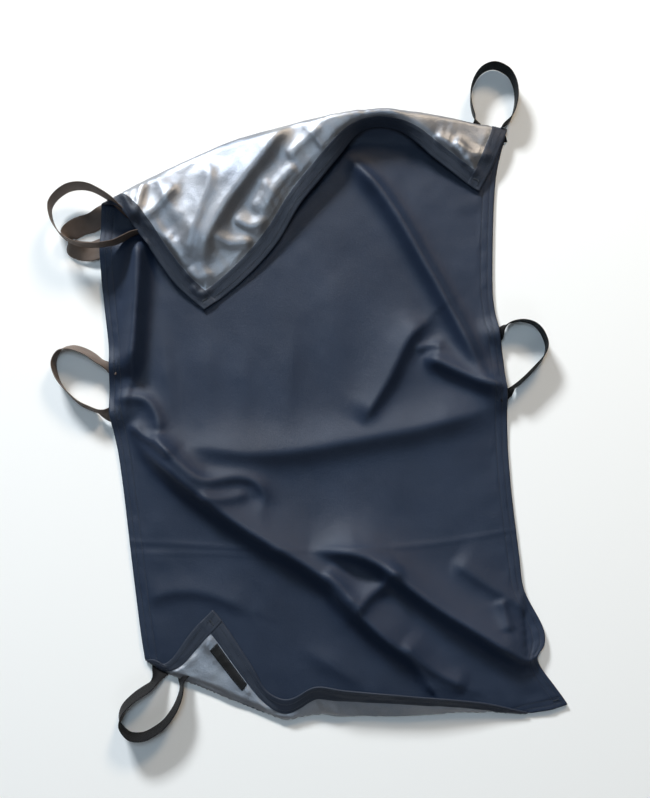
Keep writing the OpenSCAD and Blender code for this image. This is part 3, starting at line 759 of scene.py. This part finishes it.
def stitches(name, runs, replaces, radius=THREAD_R):
    """Rows of separate stitches. A run is (start, end, offset) in flat mm."""
    starts, ends, offs = [], [], []
    for p, q, offset in runs:
        p, q = np.array(p, float), np.array(q, float)
        length = np.linalg.norm(q - p)
        count = max(1, int(length // (STITCH + STITCH_GAP)))
        at = (np.arange(count) * (STITCH + STITCH_GAP) + 0.2)[:, None] * (q - p) / length
        starts.append(p + at)
        ends.append(p + at + (q - p) / length * STITCH)
        offs.append(np.full(count, offset))
    a, b, off = np.concatenate(starts), np.concatenate(ends), np.concatenate(offs)
    flat = a[:, None, :] + (b - a)[:, None, :] * RING_AT[None, :, None]
    side = np.sign(off)[:, None]
    centre = on_sheet(flat[..., 0], flat[..., 1], off[:, None] + side * RING_LIFT)
    out = on_sheet(flat[..., 0], flat[..., 1], off[:, None] + side * (RING_LIFT + 1))
    up = unit(out - centre)
    along = unit(centre[:, -1:] - centre[:, :1])
    right = unit(np.cross(along, up))
    ring = (np.cos(RING_ANGLES)[:, None] * right[:, :, None, :]
            + np.sin(RING_ANGLES)[:, None] * up[:, :, None, :])
    points = centre[:, :, None, :] + ring * (RING_GIRTH * radius)[None, :, None, None]
    count, rings, around = points.shape[:3]
    n = np.arange(count * rings * around).reshape(count, rings, around)
    m = np.roll(n, -1, 2)
    quads = np.stack([n[:, :-1], m[:, :-1], m[:, 1:], n[:, 1:]], -1).reshape(-1, 4)
    caps = np.concatenate([n[:, 0, ::-1], n[:, -1]])
    uv = np.zeros((points.size // 3, 2))
    uv[:, 0] = np.tile(np.repeat(RING_AT * STITCH, around), count) / 1000
    uv[:, 1] = np.tile(np.arange(around), count * rings) / around * 0.0016
    return make_piece(name, points, [quads, caps], uv, THREAD, replaces, "thread")


# Offsets of a thread on the dark face, on a hem, and on a side hem where it lies over an end hem
ON_SHELL, ON_HEM, ON_CORNER = 0.82, -1.52, -1.52 - CORNER_EXTRA
# Stretches of the stitch rows of a side hem and of an end hem: start, end and offset
SIDE_SPANS = [(3, SHEET_L - 3, ON_SHELL), (25, SHEET_L - 25, ON_HEM), (3, 19, ON_CORNER),
              (SHEET_L - 19, SHEET_L - 3, ON_CORNER)]
END_SPANS = [(3, SHEET_W - 3, ON_SHELL), (21, SHEET_W - 21, ON_HEM)]


def hem_rows(side, spans):
    """The two stitch rows of a hem, on both faces."""
    return [(PLACES[side](row, start), PLACES[side](row, end), offset)
            for row in (OUTER_ROW, INNER_ROW) for start, end, offset in spans]


sewn = [stitches(f"{side}_hem_thread", hem_rows(side, spans), [f"{side}_hem_stitching"])
        for side, spans in (("left", SIDE_SPANS), ("right", SIDE_SPANS), ("top", END_SPANS),
                            ("bottom", END_SPANS))]

# A bar tack at each corner: its distance from both edges, length, width and turns
TACK_IN, TACK_LENGTH, TACK_WIDTH, TACK_TURNS = 11.4, 7, 3.0, 7


def bar_tack(cx, cy, offset):
    """A dense zigzag round the centre (cx, cy)."""
    xs = cx + np.linspace(-TACK_LENGTH / 2, TACK_LENGTH / 2, TACK_TURNS * 2 + 1)
    ys = cy + np.where(np.arange(len(xs)) % 2, TACK_WIDTH / 2, -TACK_WIDTH / 2)
    points = list(zip(xs, ys))
    return [(p, q, offset) for p, q in zip(points[:-1], points[1:])]


tacks = []
for cx in (TACK_IN, SHEET_W - TACK_IN):
    for cy in (TACK_IN, SHEET_L - TACK_IN):
        tacks += bar_tack(cx, cy, ON_HEM - 0.75) + bar_tack(cx, cy, ON_SHELL)
sewn.append(stitches("corner_tack_thread", tacks, ["corner_bar_tacks"], 0.32))

# Webbing ends: which long edge, and the places along it of the two ends of each loop
ENDS = {"top_left_flap": (0, (709, 749)), "top_left": (0, (664, 626)), "middle_left": (0, (467, 408)),
        "middle_right": (1, (499, 422))}


def box_runs(edge, middle, offset):
    """A sewn box with one diagonal over a webbing end."""
    near, far, half = 8.4, 14.2, 8
    a, b = (near, far) if edge == 0 else (SHEET_W - far, SHEET_W - near)
    c, d = middle - half, middle + half
    return [((a, c), (b, c), offset), ((b, c), (b, d), offset), ((b, d), (a, d), offset),
            ((a, d), (a, c), offset), ((a, c), (b, d), offset)]


boxes = []
for edge, middles in ENDS.values():
    for middle in middles:
        boxes += box_runs(edge, middle, ON_SHELL) + box_runs(edge, middle, ON_HEM)
sewn.append(stitches("webbing_box_thread", boxes, ["anchor_box_stitching"]))

# ---------------- label
# The label's first corner on the flat sheet, its size, and how far in its thread runs
LABEL_S, LABEL_T, LABEL_LENGTH, LABEL_WIDTH, LABEL_INSET = 34.0, 20.9, 58.0, 12.0, 1.4
s, t = np.meshgrid(np.linspace(LABEL_S, LABEL_S + LABEL_LENGTH, 40),
                   np.linspace(LABEL_T, LABEL_T + LABEL_WIDTH, 12), indexing="ij")
label_off = -1.75 - 0.6 * crinkle(s, t)
label = slab("blank_label_tape", s, t, label_off + 0.1, label_off - 0.45, LABEL,
             replaces=["blank_label"], slot="label_tape")
x0, x1 = LABEL_S + LABEL_INSET, LABEL_S + LABEL_LENGTH - LABEL_INSET
y0, y1 = LABEL_T + LABEL_INSET, LABEL_T + LABEL_WIDTH - LABEL_INSET
corners = [(x0, y0), (x1, y0), (x1, y1), (x0, y1), (x0, y0)]
thread_off = float(label_off.mean()) - 0.5
sewn.append(stitches("label_thread", [(p, q, thread_off) for p, q in zip(corners[:-1], corners[1:])],
                     ["label_stitching"], 0.22))

# ---------------- webbing
# Width and thickness of the webbing, and half the width of an end squeezed in under a fold
WEB_W, WEB_T, SQUEEZED = 25.0, 1.2, 8
FLAT = np.array([1, 1, 0])


def from_edge(edge, depth):
    """Place across the sheet that is depth mm in from its left (0) or right (1) edge."""
    return depth if edge == 0 else SHEET_W - depth


def hem_root(edge, along):
    """Where a loop comes out of a hem: its last points inside, way out, way along the hem."""
    def at(depth, step=0.0, offset=-2.6):
        return on_sheet(from_edge(edge, depth), along + step, offset)

    rim = at(1.0)
    out = unit((at(0.5) - at(6)) * FLAT)
    return [at(9, 0, -3.2), rim * FLAT + [0, 0, 7.5]], out, unit((at(1, 5) - rim) * FLAT)


def run_along(line):
    """Length of a line of points up to each point."""
    return np.concatenate([[0], np.cumsum(np.linalg.norm(np.diff(line, axis=0), axis=1))])


def band(key, centre, width_way, half_w, material):
    """A loop's woven band: a rounded flat section swept along its centre line."""
    along = unit(np.gradient(centre, axis=0))
    across = unit(width_way - (width_way * along).sum(-1, keepdims=True) * along)
    face = np.cross(along, across)
    hw, ht = WEB_W / 2, WEB_T / 2
    section = [(-hw, 0), (-hw + 0.25, ht * 0.7), (-hw + 0.9, ht)]
    section += [(x, ht) for x in np.linspace(-hw + 2.5, hw - 2.5, 9)]
    section += [(hw - 0.9, ht), (hw - 0.25, ht * 0.7), (hw, 0)]
    section = np.array(section + [(x, -y) for x, y in section[1:-1]][::-1])
    wide = (half_w / hw)[:, None, None]
    rings = (centre[:, None, :] + across[:, None, :] * section[None, :, :1] * wide
             + face[:, None, :] * section[None, :, 1:])
    rings[..., 2] = np.maximum(rings[..., 2], 0.08)
    uv = np.stack(np.broadcast_arrays(section[None, :, 0], run_along(centre)[:, None]), -1) / 1000
    return make_piece(f"loop_{key}_band", rings, tube_faces(*rings.shape[:2]), uv, material,
                      [f"loop_{key}"], "webbing", body=None)


def free_loop(key, roots, free, leans, twist, pinch, material):
    """A free loop from one root to the other: it leaves the hem flat, then stands on edge."""
    (inside0, out0, hem0), (inside1, out1, hem1) = roots
    centre = rounded_line(np.vstack([inside0, np.array(free, float), inside1[::-1]]), 6)
    run = run_along(centre)
    share = smoothstep(run / run[-1], 0.25, 0.75)[:, None]
    lean = np.array(leans[0], float) * (1 - share) + np.array(leans[1], float) * share
    near = np.minimum(run, run[-1] - run)
    upright = smoothstep(near, *twist)[:, None]
    first = hem0 * (1 if hem0 @ leans[0] > 0 else -1)
    last = hem1 * (1 if hem1 @ leans[1] > 0 else -1)
    along_hem = np.where((run < run[-1] / 2)[:, None], first, last)
    half_w = WEB_W / 2 * (1 - pinch * np.exp(-((near - 15) / 9) ** 2))
    piece = band(key, centre, unit(lean) * upright + along_hem * (1 - upright), half_w, material)
    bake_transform(piece)


def webbing_ends(key, roots):
    """The two sewn-in ends of a loop, each a short flat band inside the hem or under the fold."""
    reach = np.linspace(2.5, 17, 5)[:, None]
    rows = np.linspace(-1, 1, 7)[None, :] * (WEB_W / 2 if key in ENDS else SQUEEZED)
    uv = np.stack(np.broadcast_arrays(rows, reach), -1) / 1000
    layers, faces = [], []
    for k, (inside, out, along_hem) in enumerate(roots):
        if key in ENDS:
            edge, middles = ENDS[key]
            grid = on_sheet(from_edge(edge, reach), middles[k] + rows, 0.0)
            normal = unit(on_sheet(from_edge(edge, reach), middles[k] + rows, 1.0) - grid)
            layers += [grid - normal * 0.1, grid - normal * 0.8]
        else:
            grid = inside[1] * FLAT - out * reach[..., None] + along_hem * rows[..., None]
            layers += [grid + [0, 0, 2.1], grid + [0, 0, 1.0]]
        faces.append(layer_faces(reach.size, rows.size, start=k * 2 * reach.size * rows.size))
    return make_piece("webbing_ends_" + key, np.stack(layers), faces, np.stack([uv] * 4), WEBBING,
                      ["anchors_" + key], "webbing")


# Free course of each loop between its roots: x, y and the height of the middle of the band. Then
# the ways that its width points in its two halves, where it twists upright (from and to, in mm
# from the root), how much the hem pinches it, and its material.
# The three loops on the left take the copy of the black webbing with painted warm light in its colour
FREE = {
    "top_left_flap": ([(-219, 270, 15), (-229, 280, 22), (-238, 289, 29), (-250, 298, 32), (-263, 306, 31),
                       (-277, 310, 29), (-292, 309, 27), (-306, 301, 26), (-314, 290, 27), (-315, 279, 29),
                       (-312, 265, 32), (-307, 254, 34), (-300, 244, 35), (-290, 236, 35), (-278, 231, 34),
                       (-263, 229, 33), (-248, 230, 31), (-237, 232, 29), (-227, 237, 25),
                       (-217, 243, 19)], ((0, 0.1, 1), (0, -0.05, 1)), (-2, -1), 0.0,
                      WEBBING_PAINTED_LIGHT),
    "top_left": ([(-267, 268, 6.5), (-280, 264, 8.5), (-291, 259, 9), (-298, 251, 9), (-295, 238, 9),
                  (-283, 231, 8.5), (-268, 230, 6.5)], ((-0.1, 0.85, 0.5), (-0.1, 0.85, 0.5)), (16, 40),
                 0.0, WEBBING_PAINTED_LIGHT),
    "middle_left": ([(-266, 85, 12.4), (-276, 94, 12.5), (-287, 101, 12.5), (-301, 106, 12.5),
                     (-315, 103, 12.5), (-323, 89, 12.5), (-321, 72, 12.5), (-313, 56, 12.5),
                     (-296, 36, 12.5), (-280, 26, 12.5), (-269, 21, 12)],
                    ((-0.15, -0.38, 0.9), (0.05, 0.05, 1)), (3, 26), 0.4, WEBBING_PAINTED_LIGHT),
    "middle_right": ([(243, 86, 12), (252, 90, 12.5), (264, 91, 12.5), (275, 88, 12.5), (283, 82, 12.5),
                      (289, 72, 12.5), (292, 56, 12.5), (285, 41, 12.5), (266, 23, 12.5), (252, 12, 12.5),
                      (244, 7, 12)], ((0, -0.12, 1), (-0.05, 0.12, 1)), (3, 26), 0.4, WEBBING),
    "bottom_left": ([(-228, -315, 10), (-247, -326, 12.8), (-262, -339, 13), (-266, -355, 13),
                     (-256, -369, 13), (-240, -372, 13), (-224, -366, 13), (-211, -357, 13),
                     (-199, -342, 12.8), (-192, -326, 11)], ((0.1, -0.4, 0.85), (0.2, -0.3, 0.9)), (3, 26),
                    0.4, WEBBING),
    "top_right": ([(281, 359, 11), (289, 375, 12.8), (292.5, 393, 13), (291, 410, 13), (284, 424, 13),
                   (268, 433, 13), (251, 428, 13), (239, 413, 13), (233, 395, 13), (233, 377, 11)],
                  ((0.05, 0, 1), (-0.1, 0, 1)), (3, 26), 0.4, WEBBING),
}
# Loops that come out from under a fold: where their two ends do, and the angle of the way out
UNDER = {"bottom_left": (((-219.6, -306, 7), (-189, -308, 7)), 243),
         "top_right": (((265, 346, 7), (237, 358, 7)), 81.4)}
# The last points inside of the loop that leaves the folded-over corner
FLAP_INSIDE = (((-203, 258, 8), (-210, 263, 11)), ((-197, 250, 10), (-207, 247, 14)))


def loop_roots(key):
    """The two roots of a loop, each its last points inside, way out, way along the hem."""
    if key in UNDER:
        rims, angle = UNDER[key]
        out = np.array([math.cos(math.radians(angle)), math.sin(math.radians(angle)), 0])
        return [([rim * FLAT - out * 14 + [0, 0, 1.6], rim], out, np.array([out[1], -out[0], 0]))
                for rim in np.array(rims, float)]
    edge, middles = ENDS[key]
    roots = [hem_root(edge, middle) for middle in middles]
    if key == "top_left_flap":
        roots = [(np.array(inside, float), *ways) for inside, (_, *ways) in zip(FLAP_INSIDE, roots)]
    return roots


for key, shape in FREE.items():
    roots = loop_roots(key)
    free_loop(key, roots, *shape)
    sewn.append(webbing_ends(key, roots))

# ---------------- floor, light, camera
bpy.ops.mesh.primitive_plane_add(size=8, location=(0, 0, 0))
floor = bpy.context.object
floor.name = "floor"
paper, nodes, links, shader = node_material("pale_floor")
set_inputs(shader, {"Base Color": (0.93, 0.91, 0.87, 1), "Roughness": 0.9, "Specular IOR Level": 0.1})
floor.data.materials.append(paper)


def area_light(name, place, size, power, colour):
    """A soft lamp of the given width and height, aimed at the object's origin."""
    data = bpy.data.lights.new(name, "AREA")
    data.shape, data.size, data.size_y = "RECTANGLE", size[0], size[1]
    data.energy, data.color = power, colour
    lamp = bpy.data.objects.new(name, data)
    bpy.context.scene.collection.objects.link(lamp)
    lamp.location = place
    lamp.rotation_mode = "QUATERNION"
    lamp.rotation_quaternion = (-Vector(place)).to_track_quat("-Z", "Y")


area_light("window", (-1.4, 3.7, 2.1), (1.1, 0.7), 275, (0.86, 0.93, 1.0))
area_light("lamp", (1.5, 2.6, 2.2), (0.9, 0.9), 55, (1.0, 0.82, 0.62))
area_light("front", (0.3, -2.9, 2.1), (1.2, 0.8), 9, (0.75, 0.87, 1.0))
area_light("sky", (-0.25, 0.1, 2.7), (1.0, 0.8), 19, (0.60, 0.80, 1.0))
world = bpy.data.worlds.new("room")
bpy.context.scene.world = world
world.use_nodes = True
set_inputs(world.node_tree.nodes["Background"], {"Color": (1.0, 0.93, 0.85, 1), "Strength": 0.06})
bpy.context.scene.view_settings.view_transform = "Standard"

CAMERA_AZIMUTH, CAMERA_ELEVATION, CAMERA_DISTANCE = math.radians(-5), math.radians(80), 1.5
CAMERA_AIM, CAMERA_LENS = Vector((0.010, 0.015, 0)), 54.135
level = math.cos(CAMERA_ELEVATION)
back = Vector((math.sin(CAMERA_AZIMUTH) * level, -math.cos(CAMERA_AZIMUTH) * level,
               math.sin(CAMERA_ELEVATION)))
camera_data = bpy.data.cameras.new("camera")
camera_data.sensor_width, camera_data.lens = 36, CAMERA_LENS
camera_data.clip_start, camera_data.clip_end = 0.05, 20
camera = bpy.data.objects.new("camera", camera_data)
bpy.context.scene.collection.objects.link(camera)
bpy.context.scene.camera = camera
camera.location = CAMERA_AIM + back * CAMERA_DISTANCE
camera.rotation_mode = "QUATERNION"
camera.rotation_quaternion = back.to_track_quat("Z", "Y")
